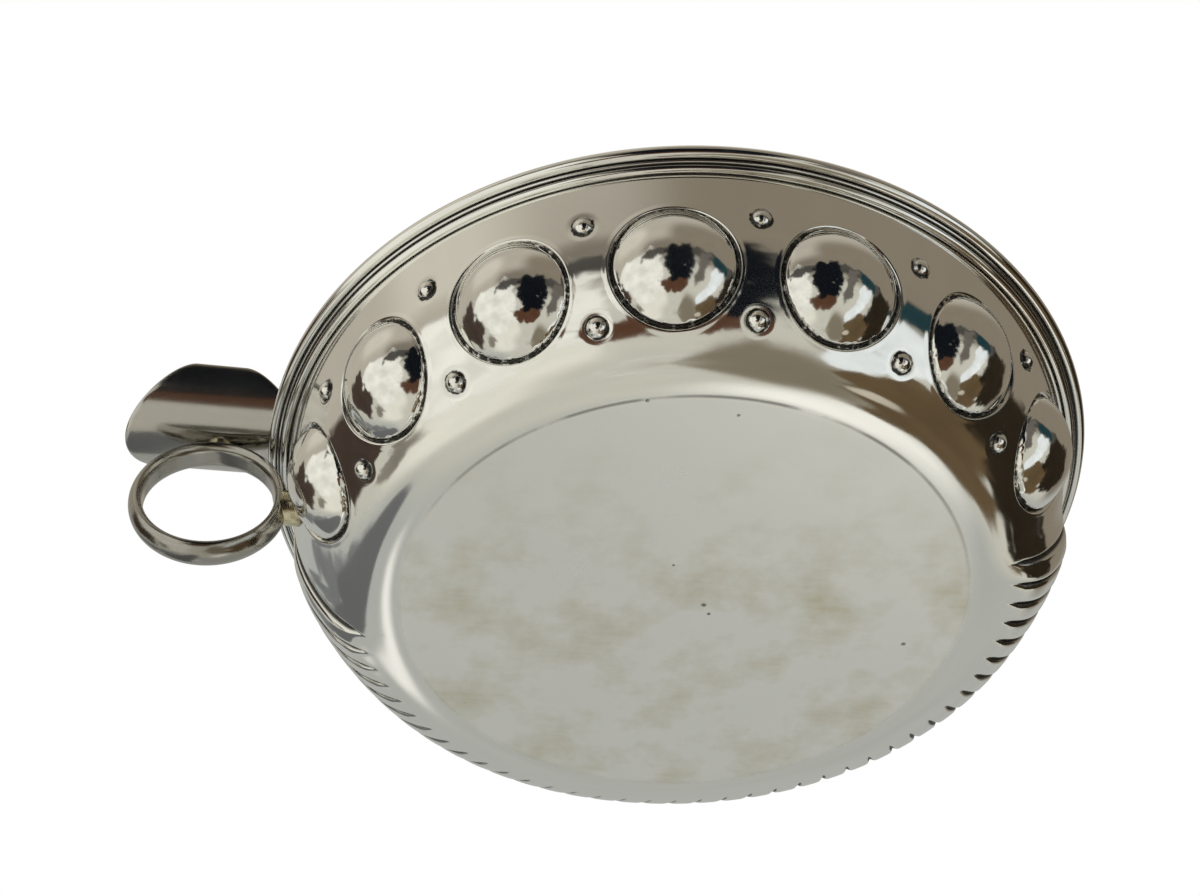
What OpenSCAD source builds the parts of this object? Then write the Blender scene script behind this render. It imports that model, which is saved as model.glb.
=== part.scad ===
// Tastevin: a shallow silver wine taster with an embossed bowl, a reeded rim and a ring handle.
// The bowl axis is Z, the base stands on z = 0 and the handle points along -X. Sizes are in millimetres.

/* [Bowl] */
// Diameter of the flat of the base
base_d = 72.5; // [66:0.5:80]
// Height of the bowl, base to lip
bowl_h = 23; // [20:0.5:30]
// Radius of the rounded corner between base and belly
corner_r = 12.5; // [10:0.5:14]
// Slope of the wall where corner and belly meet, in degrees
corner_angle = 47; // [42:1:52]
// Radius of the belly above the corner
belly_r = 21; // [18:0.5:25]
// Slope of the straight wall below the lip, in degrees
wall_angle = 76; // [70:1:80]
// Thickness of the silver sheet
sheet_t = 0.9; // [0.7:0.05:1.2]

/* [Domes and beads] */
// Number of domes
dome_count = 7; // [3:1:7]
// Angle from the handle to the first dome, in degrees
dome_start = 10.6; // [10:0.1:12]
// Angle from one dome to the next, in degrees
dome_pitch = 23.3; // [21:0.1:24]
// Height of the dome centres above the base
dome_z = 8.5; // [7.5:0.1:9.5]
// Diameter of a dome at its foot
dome_d = 13.8; // [11:0.1:15]
// Diameter of the ball that gives a dome its swell
dome_ball_d = 18; // [16.5:0.5:26]
// Width of the chased line round a dome
line_w = 0.65; // [0.4:0.05:1]
// Depth of the chased line round a dome
line_depth = 0.35; // [0.2:0.05:0.45]
// Height of the upper beads above the base
bead_high_z = 14.7; // [14:0.1:16]
// Height of the lower beads above the base
bead_low_z = 3.4; // [2.8:0.1:4]
// Diameter of a bead
bead_d = 2.5; // [1.6:0.1:3.2]
// How far a bead stands out of the wall
bead_rise = 0.95; // [0.6:0.05:1.2]
// Diameter of the punch mark behind a bead
punch_d = 1.6; // [1:0.1:1.8]
// Depth of the punch mark behind a bead
punch_depth = 0.6; // [0.3:0.05:0.8]

/* [Flutes] */
// Number of flute grooves
flute_count = 38; // [10:1:38]
// Angle from one groove to the next, in degrees
flute_pitch = 4.91; // [4.4:0.01:5.2]
// Direction of the middle groove, in degrees from +X
flute_middle = 79.4; // [75:0.1:83]
// Height of the lower groove tips above the base
flute_low_z = 1.2; // [0.8:0.1:2]
// Height of the upper groove tips above the base
flute_high_z = 15.8; // [13:0.1:17]
// Slant of the grooves from upright, in degrees
flute_slant = 20; // [0:1:24]
// Radius of the groove's round bottom
groove_r = 0.55; // [0.4:0.05:0.8]
// Depth of a groove at its middle
groove_depth = 0.5; // [0.3:0.05:0.7]

/* [Rim moulding] */
// Radius of the reed at the lip
lip_r = 0.8; // [0.7:0.05:0.9]
// How far the lip reed's centre stands out from the wall
lip_out = 1.55; // [1.4:0.05:1.7]
// How much of the lip reed is filed flush with the lip
lip_flat = 0.05; // [0.03:0.01:0.2]
// Radius of the thin middle reed
thread_r = 0.42; // [0.36:0.02:0.5]
// Radius of the lowest reed
foot_r = 0.6; // [0.54:0.02:0.7]
// How far the lowest reed's centre stands out from the wall
foot_out = 0.38; // [0.3:0.02:0.48]
// How far neighbouring reeds run into each other
reed_merge = 0.2; // [0.12:0.02:0.28]

/* [Finger ring] */
// Diameter of the finger hole
ring_bore_d = 16.7; // [14:0.1:18]
// Thickness of the ring wire, inside to outside
ring_t = 1.8; // [1.4:0.05:2.2]
// Width of the ring wire
ring_w = 4.7; // [3.8:0.1:5.4]
// Width of the flat inside the ring
ring_flat = 2.5; // [2:0.1:3]
// Radius of the crown on the outside of the ring wire
ring_crown_r = 2.9; // [2.7:0.1:5]
// Gap between ring and wall that the solder fills
ring_gap = 1.05; // [0.5:0.05:1.4]
// Diameter of the solder pad between ring and wall
ring_pad_d = 4.6; // [3:0.1:5]

/* [Thumb rest] */
// Width of the thumb rest
thumb_w = 18.2; // [15:0.2:18.8]
// Reach of the thumb rest beyond the outside of the lip
thumb_reach = 19; // [16:0.5:24]
// How far the thumb rest's round inner end would pass the lip's outside, before it is cut along the lip
thumb_overlap = 5.4; // [4:0.1:7]
// Thickness of the thumb rest
thumb_t = 1; // [0.8:0.05:1.4]
// Radius of the trough that the thumb rest is bent to
trough_r = 10; // [9.6:0.1:20]
// Thickness of the solder under the thumb rest at its lowest line
solder_t = 0.2; // [0.15:0.05:0.4]
// Diameter of the solder spot between ring and thumb rest
bridge_d = 3.4; // [2:0.1:4]

/* [Hidden] */
$fn = 180;
// Spare width of the thumb rest's plan, so that its long edges are cut square to the sheet alone
plan_spare = 0.1;
// Bands that the corner and the belly are turned in
corner_bands = 7;
belly_bands = 4;
// Bands that each reed of the moulding is turned in
reed_bands = 8;
// Extra length so that a cut runs clear of the surface it leaves
clear = 1;
silver = "#d8d6cf";
solder_tint = "#cfc8b0";

// Outside of the bowl as a curve of radius and slope over height
base_r = base_d / 2;
corner_top_z = corner_r * (1 - cos(corner_angle));
corner_top_r = base_r + corner_r * sin(corner_angle);
belly_top_z = corner_top_z + belly_r * (cos(corner_angle) - cos(wall_angle));
belly_top_r = corner_top_r + belly_r * (sin(wall_angle) - sin(corner_angle));
function wall_slope(z) =
    z < corner_top_z ? acos(1 - z / corner_r)
    : z < belly_top_z ? acos(cos(corner_angle) - (z - corner_top_z) / belly_r)
    : wall_angle;
function wall_radius(z) =
    z < corner_top_z ? base_r + corner_r * sin(wall_slope(z))
    : z < belly_top_z ? corner_top_r + belly_r * (sin(wall_slope(z)) - sin(corner_angle))
    : belly_top_r + (z - belly_top_z) / tan(wall_angle);

// Domes run round from the handle
handle_angle = 180;
function dome_angle(i) = handle_angle + dome_start + i * dome_pitch;
dome_foot_r = dome_d / 2;
line_reach = dome_foot_r / 2;
dome_sink = pow(dome_foot_r, 2) / (2 * wall_radius(dome_z));
dome_depth = sqrt(pow(dome_ball_d / 2, 2) - pow(dome_foot_r, 2)) + dome_sink;
bead_ball_r = (pow(bead_d / 2, 2) + pow(bead_rise, 2)) / (2 * bead_rise);
punch_r = (pow(punch_d / 2, 2) + pow(punch_depth, 2)) / (2 * punch_depth);

// A groove is an arc whose middle dips into the wall and whose ends leave it
flute_low = [wall_radius(flute_low_z), flute_low_z];
flute_high = [wall_radius(flute_high_z), flute_high_z];
flute_chord = norm(flute_high - flute_low);
flute_run = (flute_high - flute_low) / flute_chord;
flute_out = [flute_run[1], -flute_run[0]];
flute_mid = (flute_low + flute_high) / 2;
flute_tilt = atan2(flute_run[1], flute_run[0]);
groove_facets = 24;
bow_steps = 24;
flute_bow = max([
    for (i = [0:bow_steps])
        let (z = flute_low_z + (flute_high_z - flute_low_z) * i / bow_steps)
        ([wall_radius(z), z] - flute_low) * flute_out
]);
groove_sag = flute_bow - groove_depth;
groove_arc_r = pow(flute_chord / 2, 2) / (2 * groove_sag) + groove_sag / 2;
groove_half_angle = asin(flute_chord / 2 / groove_arc_r);

// Reeds step down and in from the lip, along a slope that brings the lowest one to the wall
lip_z = bowl_h + lip_flat - lip_r;
lip_c = [wall_radius(lip_z) + lip_out, lip_z];
lip_to_thread = lip_r + thread_r - reed_merge;
thread_to_foot = thread_r + foot_r - reed_merge;
reed_slope = wall_angle - asin((lip_out - foot_out) * sin(wall_angle) / (lip_to_thread + thread_to_foot));
reed_step = [-cos(reed_slope), -sin(reed_slope)];
thread_c = lip_c + lip_to_thread * reed_step;
foot_c = thread_c + thread_to_foot * reed_step;
rim_r = lip_c[0] + lip_r;

// Handle: the ring stands under the thumb rest, which lies on the rim
ring_or = ring_bore_d / 2 + ring_t;
ring_z = bowl_h - ring_or;
ring_x = wall_radius(ring_z) + ring_gap + ring_or;
ring_edge_r = (ring_w - ring_flat) / 2;
thumb_z = bowl_h + solder_t;
seam_r = wall_radius(bowl_h) - sheet_t / 2;
thumb_r = thumb_w / 2;
thumb_inner_x = rim_r - thumb_overlap + thumb_r;
thumb_outer_x = rim_r + thumb_reach - thumb_r;
thumb_edge_angle = asin(thumb_r / trough_r);

// Half section of the bowl's outside, filled, moved in by inset and cut off at top
module bowl_section(inset, top) {
    corner_c = [base_r, corner_r];
    belly_c = corner_c + (corner_r - belly_r) * [sin(corner_angle), -cos(corner_angle)];
    corner_step = corner_angle / corner_bands;
    belly_step = (wall_angle - corner_angle) / belly_bands;
    corner = [
        for (i = [0:corner_bands])
            corner_c + (corner_r - inset) * [sin(i * corner_step), -cos(i * corner_step)]
    ];
    belly = [
        for (i = [1:belly_bands])
            let (slope = corner_angle + i * belly_step)
            belly_c + (belly_r - inset) * [sin(slope), -cos(slope)]
    ];
    belly_end = belly[belly_bands - 1];
    lip = [belly_end[0] + (top - belly_end[1]) / tan(wall_angle), top];
    polygon(concat([[0, inset]], corner, belly, [lip, [0, top]]));
}

module bowl_fill(inset, top) {
    rotate_extrude()
        bowl_section(inset, top);
}

// Puts a shape on the outside of the wall with its +Z along the wall's outward normal
module on_wall(angle, z) {
    rotate([0, 0, angle])
        translate([wall_radius(z), 0, z])
            rotate([0, 180 - wall_slope(z), 0])
                children();
}

// A dome's ball, shrunk by the sheet for the hollow inside
module dome(shrink) {
    translate([0, 0, -dome_depth])
        sphere(dome_ball_d / 2 - shrink);
}

module all_domes(shrink) {
    for (i = [0:dome_count - 1])
        on_wall(dome_angle(i), dome_z)
            dome(shrink);
}

// Pipes along the dome axes, cut back to the depth of the chased lines
module dome_lines() {
    difference() {
        for (i = [0:dome_count - 1])
            on_wall(dome_angle(i), dome_z)
                difference() {
                    cylinder(h = 2 * line_reach, r = dome_foot_r + line_w, center = true);
                    cylinder(h = 2 * (line_reach + clear), r = dome_foot_r, center = true);
                }
        bowl_fill(line_depth, bowl_h);
    }
}

// Places children at every bead: between the domes, in a high and a low row
module at_beads() {
    for (i = [0:dome_count - 2])
        for (z = [bead_low_z, bead_high_z])
            on_wall(dome_angle(i + 0.5), z)
                children();
}

// One groove as a bent rod of the given radius
module groove(r) {
    translate([flute_mid[0], 0, flute_mid[1]])
        rotate([0, 180 - flute_tilt, 0])
            rotate([0, 0, -flute_slant])
                translate([0, 0, groove_r + groove_sag - groove_arc_r])
                    rotate([90, 0, 0])
                        rotate([0, 0, 90 - groove_half_angle])
                            rotate_extrude(angle = 2 * groove_half_angle)
                                translate([groove_arc_r, 0])
                                    circle(r, $fn = groove_facets);
}

module all_grooves(r) {
    for (i = [0:flute_count - 1])
        rotate([0, 0, flute_middle + (i - (flute_count - 1) / 2) * flute_pitch])
            groove(r);
}

// Hollow of the bowl: behind each dome it goes out, behind each groove a ridge stands in
module bowl_hollow() {
    difference() {
        union() {
            bowl_fill(sheet_t, bowl_h + clear);
            all_domes(sheet_t);
            at_beads()
                translate([0, 0, -sheet_t - punch_r + punch_depth])
                    sphere(punch_r);
        }
        all_grooves(groove_r + sheet_t);
    }
}

module bowl() {
    color(silver)
        difference() {
            union() {
                bowl_fill(0, bowl_h);
                all_domes(0);
                at_beads()
                    translate([0, 0, bead_rise - bead_ball_r])
                        sphere(bead_ball_r);
            }
            bowl_hollow();
            dome_lines();
            all_grooves(groove_r);
        }
}

// Points along a reed of the moulding, from one point on it up to but not at the next
function reed_arc(c, r, from, to) =
    let (
        start = atan2(from[1] - c[1], from[0] - c[0]),
        sweep = atan2(to[1] - c[1], to[0] - c[0]) - start
    )
    [
        for (i = [0:reed_bands - 1])
            let (turn = start + sweep * i / reed_bands)
            c + r * [cos(turn), sin(turn)]
    ];

// Outer point where two neighbouring reeds meet
function reed_cross(c1, r1, c2, r2) =
    let (
        d = norm(c2 - c1),
        along = (c2 - c1) / d,
        a = (r1 * r1 - r2 * r2 + d * d) / (2 * d)
    )
    c1 + a * along + sqrt(r1 * r1 - a * a) * [-along[1], along[0]];

module rim_moulding() {
    lip_start = [lip_c[0] + sqrt(pow(lip_r, 2) - pow(bowl_h - lip_z, 2)), bowl_h];
    lip_end = reed_cross(lip_c, lip_r, thread_c, thread_r);
    thread_end = reed_cross(thread_c, thread_r, foot_c, foot_r);
    wall_run = [cos(wall_angle), sin(wall_angle)];
    foot_gap = foot_out * sin(wall_angle);
    foot_seat = foot_c + foot_gap * [-wall_run[1], wall_run[0]];
    foot_end = foot_seat - sqrt(pow(foot_r, 2) - pow(foot_gap, 2)) * wall_run;
    color(silver)
        rotate_extrude()
            polygon(concat(
                [[wall_radius(bowl_h), bowl_h]],
                reed_arc(lip_c, lip_r, lip_start, lip_end),
                reed_arc(thread_c, thread_r, lip_end, thread_end),
                reed_arc(foot_c, foot_r, thread_end, foot_end),
                [foot_end]
            ));
}

// Half section of the ring wire: flat inside, rounded edges, crowned outside
module ring_section() {
    bore_r = ring_bore_d / 2;
    intersection() {
        union() {
            translate([bore_r, -ring_flat / 2])
                square([ring_t + clear, ring_flat]);
            translate([bore_r + ring_edge_r, -ring_w / 2])
                square([ring_t + clear, ring_w]);
            for (side = [-1, 1])
                translate([bore_r + ring_edge_r, side * ring_flat / 2])
                    circle(ring_edge_r);
        }
        translate([ring_or - ring_crown_r, 0])
            circle(ring_crown_r);
    }
}

module ring_solid() {
    translate([-ring_x, 0, ring_z])
        rotate([90, 0, 0])
            rotate_extrude()
                ring_section();
}

module finger_ring() {
    color(silver)
        ring_solid();
}

// Rod that the thumb rest is bent round, outside or inside
module trough_rod(r) {
    translate([-rim_r - thumb_reach - clear, 0, thumb_z + trough_r])
        rotate([0, 90, 0])
            cylinder(h = thumb_reach + thumb_overlap + 2 * clear, r = r);
}

// Outline of the thumb rest in plan: a slot with round ends
module thumb_plan() {
    plan_r = thumb_r + plan_spare;
    translate([-thumb_outer_x, -plan_r])
        square([thumb_outer_x - thumb_inner_x, 2 * plan_r]);
    for (x = [thumb_inner_x, thumb_outer_x])
        translate([-x, 0])
            circle(plan_r);
}

// Wedge from the trough's axis whose sides cut the long edges square to the sheet
module thumb_wedge() {
    side = 2 * trough_r * sin(thumb_edge_angle);
    shoulder = -2 * trough_r * cos(thumb_edge_angle);
    translate([-rim_r - thumb_reach - clear, 0, thumb_z + trough_r])
        rotate([90, 0, 90])
            linear_extrude(thumb_reach + thumb_overlap + 2 * clear)
                polygon([
                    [0, 0], [-side, shoulder], [-side, -2 * trough_r],
                    [side, -2 * trough_r], [side, shoulder]
                ]);
}

module thumb_rest() {
    color(silver)
        difference() {
            intersection() {
                difference() {
                    trough_rod(trough_r);
                    trough_rod(trough_r - thumb_t);
                }
                translate([0, 0, thumb_z - clear])
                    linear_extrude(trough_r + clear)
                        thumb_plan();
                thumb_wedge();
            }
            translate([0, 0, bowl_h - clear])
                cylinder(h = trough_r + 2 * clear, r = seam_r);
        }
}

// Pad between ring and wall
module ring_solder() {
    color(solder_tint)
        difference() {
            translate([-ring_x + ring_or - ring_t / 2, 0, ring_z])
                rotate([0, 90, 0])
                    cylinder(h = ring_t / 2 + ring_gap + clear, d = ring_pad_d);
            ring_solid();
            bowl_fill(0, bowl_h);
        }
}

// Seam between the rim's flat top and the thumb rest
module thumb_solder() {
    color(solder_tint)
        difference() {
            translate([0, 0, bowl_h])
                intersection() {
                    linear_extrude(trough_r)
                        thumb_plan();
                    difference() {
                        cylinder(h = thumb_t + solder_t, r = lip_c[0]);
                        translate([0, 0, -clear])
                            cylinder(h = thumb_t + solder_t + 2 * clear, r = seam_r);
                    }
                }
            trough_rod(trough_r);
        }
}

// Spot between the top of the ring and the thumb rest
module bridge_solder() {
    color(solder_tint)
        difference() {
            translate([-ring_x, 0, bowl_h - ring_t / 2])
                cylinder(h = ring_t / 2 + solder_t + thumb_t / 2, d = bridge_d);
            ring_solid();
            trough_rod(trough_r);
        }
}

bowl();
rim_moulding();
finger_ring();
thumb_rest();
ring_solder();
thumb_solder();
bridge_solder();
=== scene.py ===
# %% [markdown]
# # A tastevin in polished silver
# A tastevin is a shallow cup for tasting wine. It is raised from one sheet of silver: a smith hammers it
# to a bowl, punches a row of domes and beads into one half of the wall and slanted flutes into the
# other, and solders a reeded moulding, a finger ring and a thumb rest to the rim. Polished metal has
# almost no colour of its own, so this lesson spends its effort on smooth, true surfaces and on what
# there is for them to reflect.

# %% Load the frame
import math

import bpy
import numpy as np
from mathutils import Matrix, Vector
from mathutils.geometry import delaunay_2d_cdt


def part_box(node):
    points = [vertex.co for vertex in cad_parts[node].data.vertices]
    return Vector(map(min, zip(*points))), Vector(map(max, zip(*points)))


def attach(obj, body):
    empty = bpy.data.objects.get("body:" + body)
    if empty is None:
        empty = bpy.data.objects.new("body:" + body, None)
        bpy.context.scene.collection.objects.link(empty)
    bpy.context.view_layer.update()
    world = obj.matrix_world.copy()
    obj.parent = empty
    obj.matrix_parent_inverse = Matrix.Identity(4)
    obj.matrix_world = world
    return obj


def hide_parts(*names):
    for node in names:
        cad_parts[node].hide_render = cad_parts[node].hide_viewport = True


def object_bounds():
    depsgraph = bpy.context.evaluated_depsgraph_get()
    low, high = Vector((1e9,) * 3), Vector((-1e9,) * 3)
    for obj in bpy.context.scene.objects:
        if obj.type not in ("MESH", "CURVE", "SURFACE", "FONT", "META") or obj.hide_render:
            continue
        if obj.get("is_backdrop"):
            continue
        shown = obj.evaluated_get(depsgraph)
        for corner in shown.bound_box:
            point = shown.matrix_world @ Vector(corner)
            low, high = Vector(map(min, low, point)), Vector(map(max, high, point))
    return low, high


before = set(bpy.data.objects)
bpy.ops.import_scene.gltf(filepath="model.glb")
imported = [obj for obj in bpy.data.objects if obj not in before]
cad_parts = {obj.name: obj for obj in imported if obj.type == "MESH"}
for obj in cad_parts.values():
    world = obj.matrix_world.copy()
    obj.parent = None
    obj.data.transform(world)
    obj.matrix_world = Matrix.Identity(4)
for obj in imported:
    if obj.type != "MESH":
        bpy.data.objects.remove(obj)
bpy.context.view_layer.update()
bpy.ops.object.select_all(action="DESELECT")

# %% [markdown]
# ## The wall's outline
# Seen from the side, the wall is a flat base, a tight rounded corner, a wider belly and a straight
# stretch up to the lip. One number, the length along that outline, says how far up the wall a point is.
# All sizes here are millimetres, and a mesh is turned to metres only when it is made.

# %% Sizes of the wall
MM = 0.001
BOWL_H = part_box("bowl")[1].z / MM
BASE_R = 36.25
CORNER_R = 12.5
CORNER_SLOPE = math.radians(47)
BELLY_R = 21.0
WALL_SLOPE = math.radians(76)
SHEET = 0.9
CORNER_TOP_Z = CORNER_R * (1 - math.cos(CORNER_SLOPE))
BELLY_TOP_Z = CORNER_TOP_Z + BELLY_R * (math.cos(CORNER_SLOPE) - math.cos(WALL_SLOPE))
CORNER_LENGTH = CORNER_R * CORNER_SLOPE
BELLY_LENGTH = BELLY_R * (WALL_SLOPE - CORNER_SLOPE)
WALL_LENGTH = CORNER_LENGTH + BELLY_LENGTH + (BOWL_H - BELLY_TOP_Z) / math.sin(WALL_SLOPE)


def wall_outline(length):
    """Radius, height and slope of the wall at a length up it from the edge of the flat base."""
    length = np.asarray(length, float)
    corner = np.clip(length / CORNER_R, 0, CORNER_SLOPE)
    belly = np.clip(CORNER_SLOPE + (length - CORNER_LENGTH) / BELLY_R, CORNER_SLOPE, WALL_SLOPE)
    straight = np.clip(length - CORNER_LENGTH - BELLY_LENGTH, 0, None)
    radius = BASE_R + np.clip(length, None, 0) + CORNER_R * np.sin(corner)
    radius = radius + BELLY_R * (np.sin(belly) - math.sin(CORNER_SLOPE)) + straight * math.cos(WALL_SLOPE)
    height = CORNER_R * (1 - np.cos(corner)) + BELLY_R * (math.cos(CORNER_SLOPE) - np.cos(belly))
    height = height + straight * math.sin(WALL_SLOPE)
    return radius, height, np.where(length < CORNER_LENGTH, corner, belly)


def wall_point(turn, length):
    """Place on the wall and outward direction there, at a turn round the axis and a length up it."""
    radius, height, slope = wall_outline(length)
    place = np.stack([radius * np.cos(turn), radius * np.sin(turn), height], -1)
    outward = np.stack([np.sin(slope) * np.cos(turn), np.sin(slope) * np.sin(turn), -np.cos(slope)], -1)
    return place, outward


def length_at(height):
    """Length up the wall at which it reaches a height."""
    lengths = np.linspace(0, WALL_LENGTH, 2000)
    return float(np.interp(height, wall_outline(lengths)[1], lengths))


def ease(x):
    """Runs from 0 to 1 with soft ends."""
    x = np.clip(x, 0, 1)
    return x * x * (3 - 2 * x)


lip_radius = float(wall_outline(WALL_LENGTH)[0])
print("length of the wall in mm:", round(WALL_LENGTH, 2), "lip radius:", round(lip_radius, 2))

# %% [markdown]
# ## Punch marks: domes and beads
# Each dome is the print of a round-nosed punch, driven out from inside, with a line chased round its
# foot. Each bead is a small print in a shallow dish. A mark knows its place on the wall, its axis and
# two directions along the wall, which is all that is needed to draw circles round it.

# %% Marks on the wall
DOME_COUNT = 7
DOME_START = math.radians(10.6)
DOME_PITCH = math.radians(23.3)
DOME_HEIGHT = 8.5
DOME_FOOT_R = 6.9
DOME_BALL_R = 9.0
DOME_RISE = 2.73
LINE_W = 0.7
LINE_DEPTH = 0.42
BEAD_HEIGHTS = (3.4, 14.7)
BEAD_R = 1.25
BEAD_RISE = 0.85
DISH_R = 2.1
DISH_DEPTH = 0.22
HANDLE_TURN = math.pi


class Mark:
    """A place on the wall where a punch was driven out."""

    def __init__(self, turn, height):
        self.turn = turn
        self.length = length_at(height)
        self.radius = float(wall_outline(self.length)[0])
        self.place, self.axis = wall_point(np.array(turn), np.array(self.length))
        self.along = np.array([-math.sin(turn), math.cos(turn), 0])
        self.up = np.cross(self.axis, self.along)

    def ring(self, radius, count):
        """Angles and lengths of points on the wall that lie on a circle round the mark's axis."""
        spin = 2 * math.pi * np.arange(count) / count
        want_along, want_up = radius * np.cos(spin), radius * np.sin(spin)
        turn = self.turn + want_along / self.radius
        length = self.length + want_up
        for _ in range(8):
            offset = wall_point(turn, length)[0] - self.place
            turn = turn + (want_along - offset @ self.along) / self.radius
            length = length + want_up - offset @ self.up
        return turn, length

    def off_axis(self, place):
        """Distance of each point from the mark's axis."""
        offset = place - self.place
        return np.linalg.norm(offset - np.outer(offset @ self.axis, self.axis), axis=1)


dome_turns = [HANDLE_TURN + DOME_START + i * DOME_PITCH for i in range(DOME_COUNT)]
domes = [Mark(turn, DOME_HEIGHT) for turn in dome_turns]
beads = [Mark(turn + DOME_PITCH / 2, height) for turn in dome_turns[:-1] for height in BEAD_HEIGHTS]
print("marks:", len(domes), "domes and", len(beads), "beads")

# %% [markdown]
# ## Flutes
# The other half of the wall is fluted: slanted grooves with a swelling rib between each two, like the
# strands of a rope. The grooves start in a point just above the base and fade out below the moulding. A
# groove's line is an angle that grows with the length up the wall.

# %% Lines of the flutes
FLUTE_COUNT = 38
FLUTE_PITCH = math.radians(4.91)
FLUTE_MIDDLE = math.radians(79.4)
FLUTE_SLANT = math.radians(20)
FLUTE_LOW = length_at(1.2)
FLUTE_HIGH = length_at(16.4)
FLUTE_CENTRE = (FLUTE_LOW + FLUTE_HIGH) / 2
FLUTE_FIRST = FLUTE_MIDDLE - (FLUTE_COUNT - 1) / 2 * FLUTE_PITCH
# The wall swells under the flutes: how much on the right and left, the flutes over which that changes,
# and what is added at the ends of the row
SWELL_RIGHT, SWELL_LEFT, SWELL_FROM, SWELL_OVER = 0.85, 0.5, 10, 12
SWELL_END, END_FLUTES = 0.65, 2.5
END_REACH, END_RUN = 0.9, 1.9
# How far the swell starts below the grooves and ends above them, and the lengths in which it comes and goes
SWELL_BELOW, SWELL_ABOVE, SWELL_IN, SWELL_OUT = 3, 2.5, 9, 8
RIB_RISE, RIB_RISE_LEFT, RIB_FROM, RIB_OVER = 0.1, 0.24, 20, 8
RIB_FLATNESS = 4
GROOVE_DEPTH, GROOVE_R = 0.38, 0.36
GROOVE_BELOW, GROOVE_IN, GROOVE_OUT = 0.3, 2.6, 5


def slant_turn(length):
    """Angle that the slant adds at a length up the wall."""
    return math.tan(FLUTE_SLANT) * (length - FLUTE_CENTRE) / wall_outline(length)[0]


def flute_shape(turn, length):
    """Push of swell and ribs, distance to the nearest groove, and how deep that groove runs."""
    place = (np.mod(turn - slant_turn(length) - FLUTE_FIRST + 1, 2 * math.pi) - 1) / FLUTE_PITCH
    nearest = np.clip(np.round(place), 0, FLUTE_COUNT - 1)
    width = FLUTE_PITCH * wall_outline(length)[0] * math.cos(FLUTE_SLANT)
    away = np.abs(place - nearest) * width
    inside = np.clip(2 * away / width, 0, 1)
    between = (place > 0) & (place < FLUTE_COUNT - 1)
    half = ease((place + END_REACH) / END_RUN) * ease((FLUTE_COUNT - 1 + END_REACH - place) / END_RUN)
    swell = SWELL_RIGHT + (SWELL_LEFT - SWELL_RIGHT) * ease((place - SWELL_FROM) / SWELL_OVER)
    from_end = np.clip(np.minimum(place, FLUTE_COUNT - 1 - place), 0, None)
    swell = swell + SWELL_END * np.exp(-((from_end / END_FLUTES) ** 2))
    swell_run = ease((length - FLUTE_LOW + SWELL_BELOW) / SWELL_IN)
    swell_run = swell_run * ease((FLUTE_HIGH + SWELL_ABOVE - length) / SWELL_OUT)
    groove_run = ease((length - FLUTE_LOW + GROOVE_BELOW) / GROOVE_IN)
    groove_run = groove_run * ease((FLUTE_HIGH - length) / GROOVE_OUT)
    rib = np.where(between, 1 - (1 - inside) ** RIB_FLATNESS, 0) * groove_run
    rib_rise = RIB_RISE + (RIB_RISE_LEFT - RIB_RISE) * ease((place - RIB_FROM) / RIB_OVER)
    return swell * half * swell_run + rib_rise * rib, away, groove_run


first_degrees = round(math.degrees(FLUTE_FIRST), 1)
print("flutes from", first_degrees, "degrees, low tip at", round(FLUTE_LOW, 1), "mm up the wall")

# %% [markdown]
# ## The flat pattern of the wall
# A square grid could not hold the round feet of the domes or the fine grooves. So the wall is laid out
# flat, as a pattern maker would: on the fluted half the points follow the grooves in close columns, and
# on the domed half they sit in rings round every mark. A Delaunay triangulation joins the points of the
# domed half. Later the pattern is wrapped round the axis and every point is pushed in or out.

# %% Columns of the fluted half
ROWS = np.concatenate([
    np.linspace(-1.0, 4.0, 6),
    np.linspace(4.5, 9.0, 12),
    np.linspace(9.9, 19.8, 12),
    np.linspace(20.6, WALL_LENGTH, 13),
])
GROOVE_STEPS = np.array([0, 0.03, 0.06, 0.095, 0.15, 0.24, 0.36])
pitch_steps = np.concatenate([GROOVE_STEPS, [0.5], 1 - GROOVE_STEPS[:0:-1]])
before_first = -np.append(GROOVE_STEPS[1:], 0.5)[::-1]
columns = np.concatenate([before_first]
                         + [k + pitch_steps for k in range(FLUTE_COUNT - 1)]
                         + [FLUTE_COUNT - 1 + np.append(GROOVE_STEPS, 0.5)])
flute_length, flute_column = np.meshgrid(ROWS, columns)
flute_turn = FLUTE_FIRST + flute_column * FLUTE_PITCH + slant_turn(flute_length)
row_count = len(ROWS)
flute_faces = []
for i in range(len(columns) - 1):
    for j in range(row_count - 1):
        a = i * row_count + j
        flute_faces.append((a, a + row_count, a + row_count + 1, a + 1))
print("fluted half:", flute_turn.size, "points in", len(columns), "columns")

# %% Rings of the domed half
PATTERN_R = 48.0
GRID_STEP = 1.3
DOME_SPACING, BEAD_SPACING = 0.45, 0.3
# Shares of a grid step: room left at the seams and round the marks, and the shift of every second row
SEAM_ROOM, MARK_ROOM, ROW_SHIFT = 0.7, 0.55, 0.4


class Pattern:
    """Points of the domed half, laid flat, with the edges that the triangles have to follow."""

    def __init__(self):
        self.points = []
        self.edges = []

    def line(self, turn, length, closed=False):
        """Adds a row of points, each joined to the next."""
        first = len(self.points)
        self.points += [(t * PATTERN_R, l) for t, l in zip(turn, length)]
        last = len(self.points) - 1
        self.edges += [(k, k + 1) for k in range(first, last)]
        if closed:
            self.edges.append((last, first))

    def rings(self, mark, radii, spacing):
        """Adds a mark's middle and rings of points round it."""
        self.points.append((mark.turn * PATTERN_R, mark.length))
        for radius in radii:
            count = 8 * max(1, round(2 * math.pi * radius / spacing / 8))
            self.line(*mark.ring(radius, count), closed=True)


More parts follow.
